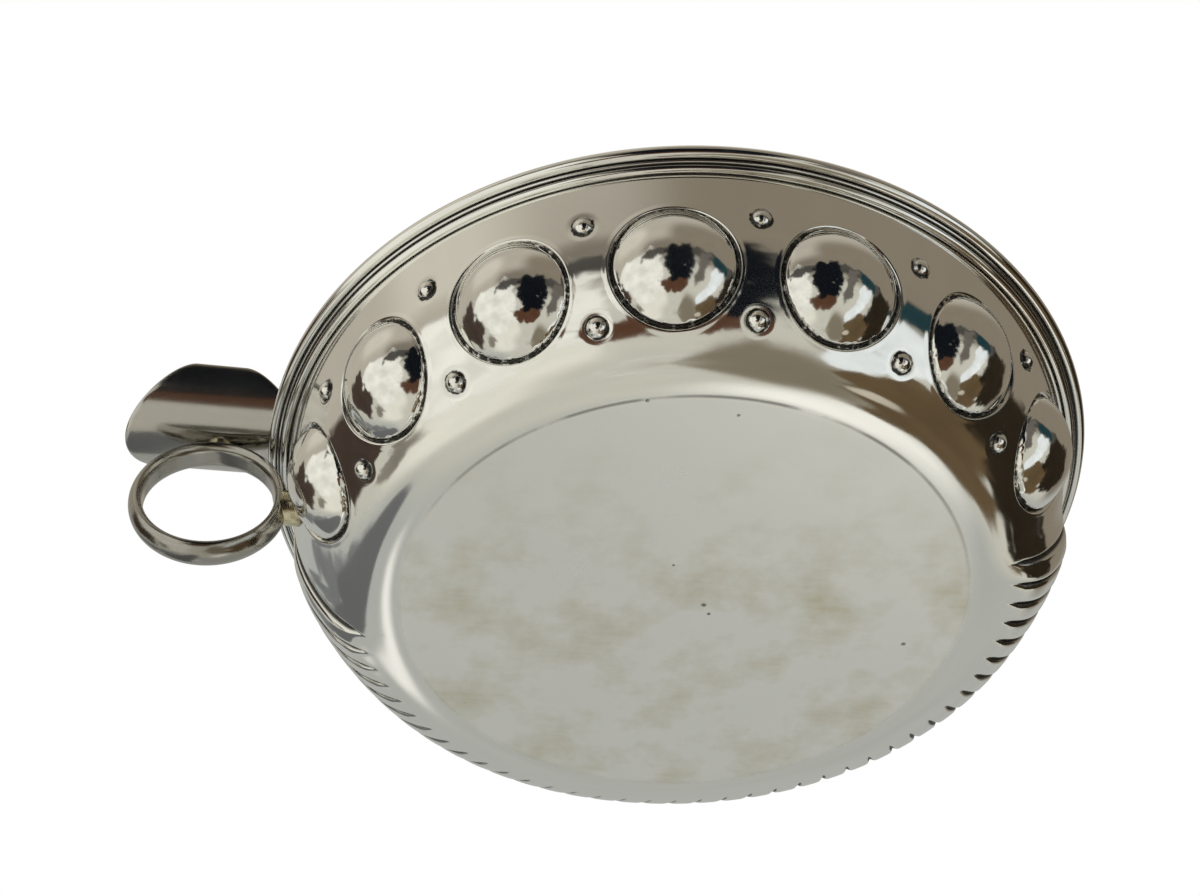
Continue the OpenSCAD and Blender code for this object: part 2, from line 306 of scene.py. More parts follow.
pattern = Pattern()
left_turn, right_turn = flute_turn[-1], flute_turn[0] + 2 * math.pi
edge_count = round((right_turn[0] - left_turn[0]) * PATTERN_R / GRID_STEP)
share = np.linspace(0, 1, edge_count + 1)
pattern.line(left_turn, ROWS)
pattern.line(right_turn, ROWS)
for row, turns in ((0, (left_turn[0], right_turn[0])), (-1, (left_turn[-1], right_turn[-1]))):
    between = turns[0] + (turns[1] - turns[0]) * share
    pattern.line(between, np.full(edge_count + 1, ROWS[row]))

dome_radii = np.concatenate([
    DOME_FOOT_R * np.sin(np.linspace(0, math.pi / 2, 12)[1:]),
    DOME_FOOT_R + LINE_W * np.linspace(0.14, 1, 7),
    DOME_FOOT_R + LINE_W + np.array([0.15, 0.4, 0.8, 1.4]),
])
bead_radii = np.concatenate([
    BEAD_R * np.sin(np.linspace(0, math.pi / 2, 6)[1:]),
    [1.32, 1.45, 1.65, 1.9, 2.1, 2.3],
])
for dome in domes:
    pattern.rings(dome, dome_radii, DOME_SPACING)
for bead in beads:
    pattern.rings(bead, bead_radii, BEAD_SPACING)

marks_reach = [(m, dome_radii[-1]) for m in domes] + [(m, bead_radii[-1]) for m in beads]
print("rings:", len(dome_radii), "round a dome,", len(bead_radii), "round a bead")

# %% Triangles of the domed half
row_step = GRID_STEP * math.sqrt(3) / 2
seam_room = SEAM_ROOM * GRID_STEP / PATTERN_R
row_shift = ROW_SHIFT * GRID_STEP / PATTERN_R
for k, length in enumerate(np.arange(ROWS[0] + row_step, WALL_LENGTH - row_step / 2, row_step)):
    low, high = np.interp(length, ROWS, left_turn), np.interp(length, ROWS, right_turn)
    turns = np.arange(low + seam_room, high - seam_room, GRID_STEP / PATTERN_R)
    for turn in turns + (k % 2) * row_shift:
        here = wall_point(np.array(turn), np.array(length))[0]
        if all(np.linalg.norm(here - m.place) > reach + MARK_ROOM * GRID_STEP for m, reach in marks_reach):
            if turn < high - row_shift:
                pattern.points.append((turn * PATTERN_R, length))

flat_points, _, dome_faces, _, _, _ = delaunay_2d_cdt(
    [Vector(p) for p in pattern.points], pattern.edges, [], 1, 1e-4)
flat = np.array([tuple(p) for p in flat_points])
dome_half_turn, dome_half_length = flat[:, 0] / PATTERN_R, flat[:, 1]
print("domed half:", len(flat), "points,", len(dome_faces), "triangles")

# %% [markdown]
# ## Embossing
# The outside of the sheet and its inside do not have the same form: a crisp line outside shows as a soft
# ridge inside. So each side has its own function for how far a point is pushed out along the wall's
# normal. A dome is pushed out until it meets its ball.

# %% Balls behind the wall
BALL_MISSED = -9.0


def ball_reach(mark, place, outward, ball_r, depth):
    """How far a ball, sunk by depth behind a mark, stands out of the wall, or BALL_MISSED beside it."""
    offset = place - (mark.place - depth * mark.axis)
    along = np.sum(offset * outward, 1)
    under = along**2 - np.sum(offset**2, 1) + ball_r**2
    return np.where(under > 0, np.sqrt(np.clip(under, 0, None)) - along, BALL_MISSED)


def soft_max(a, b, width):
    """Larger of two values, rounded over where they meet."""
    blend = np.clip(0.5 + (a - b) / (2 * width), 0, 1)
    return b + (a - b) * blend + width * blend * (1 - blend)


# %% Push of the outside
DOME_NEAR, BEAD_NEAR = 11, 4
BURR_OFF, BURR_W, BURR_RISE = 0.12, 0.16, 0.05
LINE_ROUNDNESS = 0.8
BEAD_FILLET = 0.05
GROOVE_TIP = 0.35
# Oxide: its place and spread across a chased line, its width round a bead and its shade on the bead
OXIDE_MIDDLE, OXIDE_SPREAD, CREVICE_W, BEAD_OXIDE = 0.45, 0.36, 0.24, 0.22


def push_outside(turn, length, place, outward):
    """Push of the outside of the sheet, and how much oxide lies round its marks and in its grooves."""
    push = np.zeros(len(turn))
    oxide = np.zeros(len(turn))
    for dome in domes:
        away = dome.off_axis(place)
        near = (away < DOME_NEAR) & (outward @ dome.axis > 0)
        ball = ball_reach(dome, place, outward, DOME_BALL_R, DOME_BALL_R - DOME_RISE)
        cap = np.where(near & (away <= DOME_FOOT_R + 1e-6), np.clip(ball, 0, None), 0)
        across = (away - DOME_FOOT_R) / LINE_W
        line = np.where(near & (across > 0) & (across < 1), np.sin(np.clip(across, 0, 1) * math.pi), 0)
        burr = np.where(near, np.exp(-((away - DOME_FOOT_R - LINE_W - BURR_OFF) / BURR_W) ** 2), 0)
        push = push + cap - LINE_DEPTH * line**LINE_ROUNDNESS + BURR_RISE * burr
        shade = np.where(near, np.exp(-(((across - OXIDE_MIDDLE) / OXIDE_SPREAD) ** 4)), 0)
        oxide = np.maximum(oxide, shade)
    for bead in beads:
        away = bead.off_axis(place)
        near = (away < BEAD_NEAR) & (outward @ bead.axis > 0)
        dish = np.where(near, -DISH_DEPTH * (1 - ease(away / DISH_R)), 0)
        ball_r = (BEAD_R**2 + BEAD_RISE**2) / (2 * BEAD_RISE)
        ball = ball_reach(bead, place, outward, ball_r, ball_r - BEAD_RISE)
        push = push + np.where(near, soft_max(dish, ball, BEAD_FILLET), 0)
        crevice = np.exp(-(((away - BEAD_R) / CREVICE_W) ** 2))
        shade = np.maximum(crevice, BEAD_OXIDE * (away < BEAD_R))
        oxide = np.maximum(oxide, np.where(near, shade, 0))
    rib, away, groove_run = flute_shape(turn, length)
    groove_r = GROOVE_R * (GROOVE_TIP + (1 - GROOVE_TIP) * groove_run)
    groove = np.exp(-((away / groove_r) ** 2)) * groove_run
    push = push + rib - GROOVE_DEPTH * groove
    return push, oxide, groove


# %% Push of the inside
DOME_FILLET, PUNCH_FILLET = 0.3, 0.15
PUNCH_R, PUNCH_SINK, PUNCH_NEAR = 0.95, 0.35, 3
# How much of a rib and of a groove shows inside, and how much wider a groove's ridge is there
RIB_INSIDE, RIDGE_INSIDE, RIDGE_SPREAD = 0.95, 0.8, 0.45


def push_inside(turn, length, place, outward):
    """Push of the inside of the sheet, measured from the outside of the plain wall."""
    push = np.full(len(turn), -SHEET)
    for dome in domes:
        near = (dome.off_axis(place) < DOME_NEAR) & (outward @ dome.axis > 0)
        ball = ball_reach(dome, place, outward, DOME_BALL_R - SHEET, DOME_BALL_R - DOME_RISE)
        push = np.where(near, soft_max(push, ball, DOME_FILLET), push)
    for bead in beads:
        near = (bead.off_axis(place) < PUNCH_NEAR) & (outward @ bead.axis > 0)
        ball = ball_reach(bead, place, outward, PUNCH_R, SHEET + PUNCH_SINK)
        push = np.where(near, soft_max(push, ball, PUNCH_FILLET), push)
    rib, away, groove_run = flute_shape(turn, length)
    ridge = np.exp(-((away / (GROOVE_R + RIDGE_SPREAD)) ** 2)) * groove_run
    return push + RIB_INSIDE * rib - RIDGE_INSIDE * GROOVE_DEPTH * ridge


# %% [markdown]
# ## The bowl
# The two halves of the pattern are put side by side, wrapped and embossed, once for the outside and once
# for the inside. A strip over the lip and a disc on each side of the base close the shell. Points along
# the seams of the two halves lie on each other, so merging by distance sews them.

# %% Wrap and emboss the pattern
turn = np.concatenate([flute_turn.ravel(), dome_half_turn])
length = np.concatenate([flute_length.ravel(), dome_half_length])
first_dome_point = flute_turn.size
faces = list(flute_faces) + [tuple(first_dome_point + k for k in f) for f in dome_faces]

place, outward = wall_point(turn, length)
push, oxide, groove = push_outside(turn, length, place, outward)
outside = place + push[:, None] * outward

LIP_ROUND = 0.3
lip_share = ease((length - CORNER_LENGTH - BELLY_LENGTH) / (WALL_LENGTH - CORNER_LENGTH - BELLY_LENGTH))
level = outward * [1, 1, 0] / math.sin(WALL_SLOPE) ** 2
inward = outward * (1 - lip_share[:, None]) + level * lip_share[:, None]
inside = place + push_inside(turn, length, place, outward)[:, None] * inward
inside[:, 2] -= LIP_ROUND * lip_share**2
print("pushed out by", round(float(push.min()), 2), "to", round(float(push.max()), 2), "mm")


# %% Close the shell at the lip and in the base
def loop_at(row_length):
    """Points of one whole row round the bowl, in order of angle, with each seam's point once."""
    on_row = np.flatnonzero(np.abs(length - row_length) < 1e-3)
    angle = np.mod(turn[on_row], 2 * math.pi)
    order = np.argsort(angle)
    on_row, angle = on_row[order], angle[order]
    keep = np.append(np.diff(angle) > 1e-6, angle[0] + 2 * math.pi - angle[-1] > 1e-6)
    return on_row[keep]


top, bottom = loop_at(WALL_LENGTH), loop_at(ROWS[0])
count = len(turn)
lip_flat, lip_bend = inside[top].copy(), inside[top].copy()
ray = np.stack([np.cos(turn[top]), np.sin(turn[top]), np.zeros(len(top))], 1)
lip_flat += ray * LIP_ROUND
lip_flat[:, 2] = BOWL_H
lip_bend += ray * LIP_ROUND * (1 - math.sqrt(0.5))
lip_bend[:, 2] = BOWL_H - LIP_ROUND * (1 - math.sqrt(0.5))
points = np.concatenate([outside, inside, lip_flat, lip_bend])

shell = list(faces)
shell += [tuple(count + k for k in reversed(f)) for f in faces]
lip_loops = [top, 2 * count + np.arange(len(top)), 2 * count + len(top) + np.arange(len(top)), count + top]
for lower, upper in zip(lip_loops[:-1], lip_loops[1:]):
    shell += list(zip(lower, np.roll(lower, -1), np.roll(upper, -1), upper))
shell.append(tuple(int(k) for k in bottom[::-1]))
shell.append(tuple(int(count + k) for k in bottom))
print("loops:", len(top), "points round the lip,", len(bottom), "round the base")

# %% Mesh of the bowl
SEWN_WITHIN = 2e-6
bowl_mesh = bpy.data.meshes.new("bowl_shell")
bowl_mesh.from_pydata((points * MM).tolist(), [], [tuple(int(k) for k in f) for f in shell])
for name, shade in {"oxide": oxide, "groove": groove}.items():
    layer = bowl_mesh.attributes.new(name, "FLOAT", "POINT")
    on_all_points = np.concatenate([shade, np.zeros(len(points) - count)])
    layer.data.foreach_set("value", on_all_points.astype(np.float32))
bowl = bpy.data.objects.new("bowl_shell", bowl_mesh)
bpy.context.collection.objects.link(bowl)


def work_on(piece):
    """Selects one piece alone and makes it active, as a click on it would."""
    bpy.ops.object.select_all(action="DESELECT")
    piece.select_set(True)
    bpy.context.view_layer.objects.active = piece


work_on(bowl)
bpy.ops.object.mode_set(mode="EDIT")
bpy.ops.mesh.select_all(action="SELECT")
bpy.ops.mesh.remove_doubles(threshold=SEWN_WITHIN)
bpy.ops.object.mode_set(mode="OBJECT")
bpy.ops.object.shade_smooth()


def count_triangles(piece):
    """Number of triangles that a piece's faces come to."""
    return sum(len(p.vertices) - 2 for p in piece.data.polygons)


print("bowl:", count_triangles(bowl), "triangles")

# %% [markdown]
# ## The rim moulding
# The moulding is a drawn wire with three reeds, bent to a hoop, soldered round the lip and filed flush
# on top. It could be three tori laid on each other, but the valleys between them have to close. So its
# section is drawn once, arc by arc, and the spin tool turns it round the axis of the bowl.

# %% Section of the moulding
LIP_R, THREAD_R, FOOT_R = 0.8, 0.42, 0.6
LIP_OUT, FOOT_OUT, LIP_FILED, REED_MERGE = 1.55, 0.38, 0.05, 0.2
REED_STEPS = 12


def wall_radius(height):
    """Radius of the plain wall at a height."""
    return float(wall_outline(length_at(height))[0])


def reed_cross(c1, r1, c2, r2):
    """Outer point in which two reeds meet."""
    gap = c2 - c1
    apart = gap.length
    along = (r1 * r1 - r2 * r2 + apart * apart) / (2 * apart)
    gap = gap / apart
    return c1 + along * gap + math.sqrt(r1 * r1 - along * along) * Vector((-gap.y, gap.x))


def reed_arc(centre, start, end):
    """Points of a reed's section from start towards end, without the end."""
    first = math.atan2(start.y - centre.y, start.x - centre.x)
    sweep = math.atan2(end.y - centre.y, end.x - centre.x) - first
    turns = [first + sweep * k / REED_STEPS for k in range(REED_STEPS)]
    return [centre + (start - centre).length * Vector((math.cos(t), math.sin(t))) for t in turns]


lip_z = BOWL_H + LIP_FILED - LIP_R
lip_c = Vector((wall_radius(lip_z) + LIP_OUT, lip_z))
lip_to_thread = LIP_R + THREAD_R - REED_MERGE
thread_to_foot = THREAD_R + FOOT_R - REED_MERGE
reed_lean = math.asin((LIP_OUT - FOOT_OUT) * math.sin(WALL_SLOPE) / (lip_to_thread + thread_to_foot))
reed_step = -Vector((math.cos(WALL_SLOPE - reed_lean), math.sin(WALL_SLOPE - reed_lean)))
thread_c = lip_c + lip_to_thread * reed_step
foot_c = thread_c + thread_to_foot * reed_step
lip_start = Vector((lip_c.x + math.sqrt(LIP_R**2 - (BOWL_H - lip_z) ** 2), BOWL_H))
lip_end = reed_cross(lip_c, LIP_R, thread_c, THREAD_R)
thread_end = reed_cross(thread_c, THREAD_R, foot_c, FOOT_R)
wall_run = Vector((math.cos(WALL_SLOPE), math.sin(WALL_SLOPE)))
foot_gap = FOOT_OUT * math.sin(WALL_SLOPE)
foot_seat = foot_c + foot_gap * Vector((-wall_run.y, wall_run.x))
foot_end = foot_seat - math.sqrt(FOOT_R**2 - foot_gap**2) * wall_run
moulding_section = [Vector((wall_radius(BOWL_H), BOWL_H))]
moulding_section += reed_arc(lip_c, lip_start, lip_end) + reed_arc(thread_c, lip_end, thread_end)
moulding_section += reed_arc(foot_c, thread_end, foot_end) + [foot_end]
print("moulding section:", len(moulding_section), "points, foot at", [round(v, 2) for v in foot_end])

# %% Spin the moulding
SMOOTH_LIMIT = math.radians(35)
MOULDING_STEPS = 360


def spin_section(piece, steps, centre, axis):
    """Turns a closed edge loop once round an axis, sews the ends and points the faces outwards."""
    work_on(piece)
    bpy.ops.object.mode_set(mode="EDIT")
    bpy.ops.mesh.select_all(action="SELECT")
    bpy.ops.mesh.spin(steps=steps, angle=2 * math.pi, center=centre, axis=axis)
    bpy.ops.mesh.select_all(action="SELECT")
    bpy.ops.mesh.remove_doubles(threshold=SEWN_WITHIN)
    bpy.ops.mesh.normals_make_consistent(inside=False)
    bpy.ops.object.mode_set(mode="OBJECT")
    bpy.ops.object.shade_smooth_by_angle(angle=SMOOTH_LIMIT)


bpy.ops.mesh.primitive_circle_add(vertices=len(moulding_section), radius=LIP_R * MM)
moulding = bpy.context.object
moulding.name = "reeded_moulding"
for vertex, corner in zip(moulding.data.vertices, moulding_section):
    vertex.co = (corner.x * MM, 0, corner.y * MM)
spin_section(moulding, MOULDING_STEPS, (0, 0, 0), (0, 0, 1))
print("moulding:", count_triangles(moulding), "triangles")

# %% Dark lines between the reeds
VALLEY_W = 0.24
valleys = [lip_end, thread_end, foot_end]
valley_oxide = moulding.data.attributes.new("groove", "FLOAT", "POINT")
for vertex, shade in zip(moulding.data.vertices, valley_oxide.data):
    spot = Vector((math.hypot(vertex.co.x, vertex.co.y), vertex.co.z)) / MM
    shade.value = max(math.exp(-((spot - valley).length / VALLEY_W) ** 2) for valley in valleys)
print("valleys:", len(valleys), "dark lines of", VALLEY_W, "mm")

# %% [markdown]
# ## The finger ring
# The ring is a thick D-section wire, bent round a rod and closed with solder. It is flat where the
# finger goes and crowned outside, with edges worn round. A circle is added, each of its points is drawn
# to the section's outline, softened where the crown meets the rounded edge, and the circle is spun about
# the finger's axis.

# %% Section and spin of the ring
RING_BORE_R, RING_T, RING_W, RING_FLAT, RING_CROWN_R = 8.35, 1.8, 4.7, 1.7, 2.9
RING_GAP = 1.05
EDGE_SOFTNESS = 14
WIRE_POINTS, RING_STEPS = 56, 160
ring_outer_r = RING_BORE_R + RING_T
ring_z = BOWL_H - ring_outer_r
ring_x = wall_radius(ring_z) + RING_GAP + ring_outer_r
edge_r = (RING_W - RING_FLAT) / 2
wire_middle = RING_BORE_R + RING_T / 2


def wire_reach(angle):
    """Distance from the middle of the wire to its surface, in a direction across the wire."""
    way = Vector((math.cos(angle), abs(math.sin(angle))))
    crown = Vector((RING_T / 2 - RING_CROWN_R, 0))
    reach = crown.dot(way) + math.sqrt(RING_CROWN_R**2 - crown.cross(way) ** 2)
    if way.x >= 0:
        return reach
    inner = -RING_T / 2 / way.x
    if inner * way.y > RING_FLAT / 2:
        edge = Vector((edge_r - RING_T / 2, RING_FLAT / 2))
        inner = edge.dot(way) + math.sqrt(max(edge_r**2 - edge.cross(way) ** 2, 0))
    return (inner**-EDGE_SOFTNESS + reach**-EDGE_SOFTNESS) ** (-1 / EDGE_SOFTNESS)


bpy.ops.object.select_all(action="DESELECT")
bpy.ops.mesh.primitive_circle_add(vertices=WIRE_POINTS, radius=RING_T / 2 * MM)
ring = bpy.context.object
ring.name = "finger_ring_wire"
for k, vertex in enumerate(ring.data.vertices):
    angle = 2 * math.pi * k / WIRE_POINTS
    reach = wire_reach(angle)
    out = wire_middle + reach * math.cos(angle)
    vertex.co = ((out - ring_x) * MM, reach * math.sin(angle) * MM, ring_z * MM)
spin_section(ring, RING_STEPS, (-ring_x * MM, 0, ring_z * MM), (0, 1, 0))
print("finger ring:", count_triangles(ring), "triangles, middle at x", round(-ring_x, 2))

# %% [markdown]
# ## The thumb rest
# The thumb rest is a slot-shaped blank of sheet, cut along the lip at its inner end, bent to a trough
# and soldered on the rim above the ring. A circle is drawn out to the slot, its inner end is pushed on
# to the lip's line, and the blank is filled with rings by extruding its edge inwards. Laid on the trough
# and extruded square to the sheet, it gets its thickness, and a bevel takes the edge off as a file
# would.

# %% Blank of the thumb rest
THUMB_W, THUMB_REACH, THUMB_OVERLAP, THUMB_T = 18.2, 19.0, 5.4, 1.0
TROUGH_R, SOLDER_T = 10.0, 0.2
THUMB_CORNERS, THUMB_RINGS = 144, 18
EDGE_FULLNESS = 0.02
rim_r = lip_c.x + LIP_R
lip_line_r = wall_radius(BOWL_H) - SHEET / 2
thumb_r = THUMB_W / 2
thumb_inner_x = -(rim_r - THUMB_OVERLAP + thumb_r)
thumb_outer_x = -(rim_r + THUMB_REACH - thumb_r)
trough_z = BOWL_H + SOLDER_T + TROUGH_R

bpy.ops.object.select_all(action="DESELECT")
bpy.ops.mesh.primitive_circle_add(
    vertices=THUMB_CORNERS, radius=thumb_r * MM, location=(thumb_inner_x * MM, 0, 0))
rest = bpy.context.object
rest.name = "thumb_rest_sheet"
bpy.ops.object.transform_apply(location=True)
bpy.ops.object.mode_set(mode="EDIT")
bpy.ops.mesh.select_all(action="DESELECT")
bpy.ops.object.mode_set(mode="OBJECT")
for vertex in rest.data.vertices:
    vertex.select = vertex.co.x < (thumb_inner_x - 0.01) * MM
bpy.ops.object.mode_set(mode="EDIT")
bpy.ops.transform.translate(value=((thumb_outer_x - thumb_inner_x) * MM, 0, 0))
bpy.ops.object.mode_set(mode="OBJECT")
for vertex in rest.data.vertices:
    if vertex.co.length < lip_line_r * MM:
        vertex.co = vertex.co.normalized() * lip_line_r * MM
middle_x = (min(v.co.x for v in rest.data.vertices) - lip_line_r * MM) / 2
for vertex in rest.data.vertices:
    from_middle = (vertex.co.x - middle_x) / (thumb_r * MM)
    vertex.co.y *= 1 + EDGE_FULLNESS * max(1 - from_middle**2, 0)
bpy.ops.object.mode_set(mode="EDIT")
bpy.ops.mesh.select_all(action="SELECT")
for k in range(THUMB_RINGS - 1):
    shrink = (THUMB_RINGS - 1 - k) / (THUMB_RINGS - k)
    bpy.ops.mesh.extrude_edges_move()
    bpy.ops.transform.resize(value=(shrink, shrink, 1), center_override=(middle_x, 0, 0))
bpy.ops.mesh.edge_face_add()
bpy.ops.mesh.poke()
bpy.ops.object.mode_set(mode="OBJECT")
for vertex in rest.data.vertices:
    vertex.co.z = trough_z * MM - math.sqrt((TROUGH_R * MM) ** 2 - vertex.co.y**2)
print("blank:", len(rest.data.vertices), "points, middle at x", round(middle_x / MM, 1))

# %% Thickness and filed edge
EDGE_FILED = 0.22
SHARP_EDGE = math.radians(30)
work_on(rest)
bpy.ops.object.mode_set(mode="EDIT")
bpy.ops.mesh.select_all(action="SELECT")
bpy.ops.mesh.extrude_region_move()
thinner = (TROUGH_R - THUMB_T) / TROUGH_R
bpy.ops.transform.resize(value=(1, thinner, thinner), center_override=(0, 0, trough_z * MM))
bpy.ops.mesh.select_all(action="SELECT")
bpy.ops.mesh.normals_make_consistent(inside=False)
bpy.ops.mesh.select_all(action="DESELECT")
bpy.ops.mesh.edges_select_sharp(sharpness=SHARP_EDGE)
bpy.ops.mesh.bevel(offset=EDGE_FILED * MM, segments=3, affect="EDGES")
bpy.ops.object.mode_set(mode="OBJECT")
bpy.ops.object.shade_smooth_by_angle(angle=SMOOTH_LIMIT)
print("thumb rest:", count_triangles(rest), "triangles")

# %% [markdown]
# ## Silver
# Sterling silver is nearly white and shows the room like a mirror. Only the small things make it silver
# and not chrome: a warm tone, polishing marks, faint stains, a base rubbed satin by tables, and black
# silver sulphide that stays in every line where the cloth can't reach. One material holds all of that.
# It finds the underside of the base by Object coordinates, and the lines by point attributes that were
# written with the shapes.


# %% Colours and nodes
def from_hex(code):
    """Linear colour of an sRGB hex value."""
    channels = [int(code[k:k + 2], 16) / 255 for k in (1, 3, 5)]
    return [c / 12.92 if c <= 0.04045 else ((c + 0.055) / 1.055) ** 2.4 for c in channels] + [1]


def add_node(tree, kind, inputs=None, **settings):
    """Adds a node, sets its properties and sets or links its inputs."""
    node = tree.nodes.new(kind)
    for name, value in settings.items():
        setattr(node, name, value)
    for name, value in (inputs or {}).items():
        if isinstance(value, bpy.types.NodeSocket):
            tree.links.new(value, node.inputs[name])
        else:
            node.inputs[name].default_value = value
    return node


def new_material(name):
    """An empty node material with its shader."""
    material = bpy.data.materials.new(name)
    material.use_nodes = True
    return material, material.node_tree, material.node_tree.nodes["Principled BSDF"]


print("white in linear light:", from_hex("#FFFFFF"))

# %% Sterling silver
# Polished silver: a mirror, slightly soft and wavy from the hammer, grey-white with a warm tone.
# The base is satin. It is found by its radius and its height.
# OXIDE_AND_SHADE is the dark of the lines; at the edge of the base it is painted shade
# TARNISH_AND_SHADE greys the finger ring and thumb rest: partly tarnish, partly painted shade on the thumb
# rest
SILVER, STAIN, OXIDE_AND_SHADE, TARNISH_AND_SHADE = "#F3F2ED", "#CFC6A9", "#1B1916", "#8C877D"

silver, tree, shader = new_material("sterling_silver")
place = add_node(tree, "ShaderNodeTexCoord").outputs["Object"]
_, side, height = add_node(tree, "ShaderNodeSeparateXYZ", {0: place}).outputs
level = add_node(tree, "ShaderNodeVectorMath", {0: place, 1: (1, 1, 0)}, operation="MULTIPLY").outputs[0]
radius = add_node(tree, "ShaderNodeVectorMath", {0: level}, operation="LENGTH").outputs["Value"]

in_base = add_node(tree, "ShaderNodeMapRange", {
    "Value": radius, "From Min": 36.9 * MM, "From Max": 35.9 * MM},
    interpolation_type="SMOOTHSTEP").outputs[0]
under = add_node(tree, "ShaderNodeMapRange", {
    "Value": height, "From Min": 0.5 * MM, "From Max": 0.2 * MM}).outputs[0]
base = add_node(tree, "ShaderNodeMath", {0: in_base, 1: under}, operation="MULTIPLY").outputs[0]
print("base found with", len(tree.nodes), "nodes")

# %% Patterns in the silver
# Dents of the hammer, haze from polishing, blotches of stain and a fine skin. Brushed marks run along X
# and are drawn coarser than real ones, so that they show.
HAMMER_MM, HAZE_MM, STAIN_MM, PEEL_MM = 17, 12, 12, 0.65
BRUSH_MM = (16, 0.8, 16)
hammer = add_node(tree, "ShaderNodeTexNoise", {
    "Vector": place, "Scale": 1 / (HAMMER_MM * MM), "Detail": 1.0}).outputs["Fac"]
haze = add_node(tree, "ShaderNodeTexNoise", {
    "Vector": place, "Scale": 1 / (HAZE_MM * MM), "Detail": 4.0, "Distortion": 0.6}).outputs["Fac"]
blotch = add_node(tree, "ShaderNodeTexNoise", {
    "Vector": place, "Scale": 1 / (STAIN_MM * MM), "Detail": 9.0, "Roughness": 0.62}).outputs["Fac"]
peel = add_node(tree, "ShaderNodeTexNoise", {
    "Vector": place, "Scale": 1 / (PEEL_MM * MM), "Detail": 2.0}).outputs["Fac"]
stretched = add_node(tree, "ShaderNodeVectorMath", {
    0: place, 1: [1 / (size * MM) for size in BRUSH_MM]}, operation="MULTIPLY").outputs[0]
brush = add_node(tree, "ShaderNodeTexNoise", {
    "Vector": stretched, "Scale": 1.0, "Detail": 3.0}).outputs["Fac"]
print("with patterns:", len(tree.nodes), "nodes")

# %% Dark lines
# Oxide is speckled round the marks and whole in the grooves
EDGE_SHADE_R = 36.1
oxide = add_node(tree, "ShaderNodeAttribute", attribute_name="oxide").outputs["Fac"]
patchy = add_node(tree, "ShaderNodeMapRange", {
    "Value": peel, "From Min": 0.3, "From Max": 0.7, "To Min": 0.4, "To Max": 1.25}).outputs[0]
line = add_node(tree, "ShaderNodeMath", {0: oxide, 1: patchy}, operation="MULTIPLY").outputs[0]
line = add_node(tree, "ShaderNodeMapRange", {
    "Value": line, "From Min": 0.2, "From Max": 0.75, "To Max": 0.95},
    interpolation_type="SMOOTHSTEP").outputs[0]
groove = add_node(tree, "ShaderNodeAttribute", attribute_name="groove").outputs["Fac"]
groove = add_node(tree, "ShaderNodeMapRange", {
    "Value": groove, "From Min": 0.15, "From Max": 0.7, "To Max": 0.93},
    interpolation_type="SMOOTHSTEP").outputs[0]
line = add_node(tree, "ShaderNodeMath", {0: line, 1: groove}, operation="MAXIMUM").outputs[0]

# A thin broken line of painted shade at the edge of the base, strongest on the domed side
edge_off = add_node(tree, "ShaderNodeMath", {
    0: radius, 1: EDGE_SHADE_R * MM}, operation="SUBTRACT").outputs[0]
edge_off = add_node(tree, "ShaderNodeMath", {0: edge_off}, operation="ABSOLUTE").outputs[0]
edge = add_node(tree, "ShaderNodeMapRange", {
    "Value": edge_off, "From Min": 0.35 * MM, "From Max": 0.05 * MM, "To Max": 0.6}).outputs[0]
edge = add_node(tree, "ShaderNodeMath", {0: edge, 1: under}, operation="MULTIPLY").outputs[0]
shade_on_domed_side = add_node(tree, "ShaderNodeMapRange", {
    "Value": side, "From Min": -8 * MM, "From Max": -30 * MM, "To Min": 0.1}).outputs[0]
edge = add_node(tree, "ShaderNodeMath", {0: edge, 1: shade_on_domed_side}, operation="MULTIPLY").outputs[0]
broken = add_node(tree, "ShaderNodeMapRange", {"Value": haze, "From Min": 0.36, "From Max": 0.52}).outputs[0]
edge = add_node(tree, "ShaderNodeMath", {0: edge, 1: broken}, operation="MULTIPLY").outputs[0]
line = add_node(tree, "ShaderNodeMath", {0: line, 1: edge}, operation="MAXIMUM").outputs[0]
print("with lines:", len(tree.nodes), "nodes")

# %% Nicks
# A few nicks in the base hold dirt: place and size of each in millimetres
NICKS = {
    (-9.5, -34.6): 0.35,
    (1.2, -33.5): 0.28,
    (2.4, -1.2): 0.45,
    (3.3, 0.4): 0.3,
    (-2.5, -8.0): 0.25,
    (29.5, 3.5): 0.4,
}
for spot, size in NICKS.items():
    off = add_node(tree, "ShaderNodeVectorMath", {
        0: place, 1: (spot[0] * MM, spot[1] * MM, 0)}, operation="DISTANCE").outputs["Value"]
    nick = add_node(tree, "ShaderNodeMapRange", {
        "Value": off, "From Min": size * MM, "From Max": 0.5 * size * MM, "To Max": 0.75}).outputs[0]
    nick = add_node(tree, "ShaderNodeMath", {0: nick, 1: patchy}, operation="MULTIPLY").outputs[0]
    line = add_node(tree, "ShaderNodeMath", {0: line, 1: nick}, operation="MAXIMUM").outputs[0]
print("nicks:", len(NICKS))

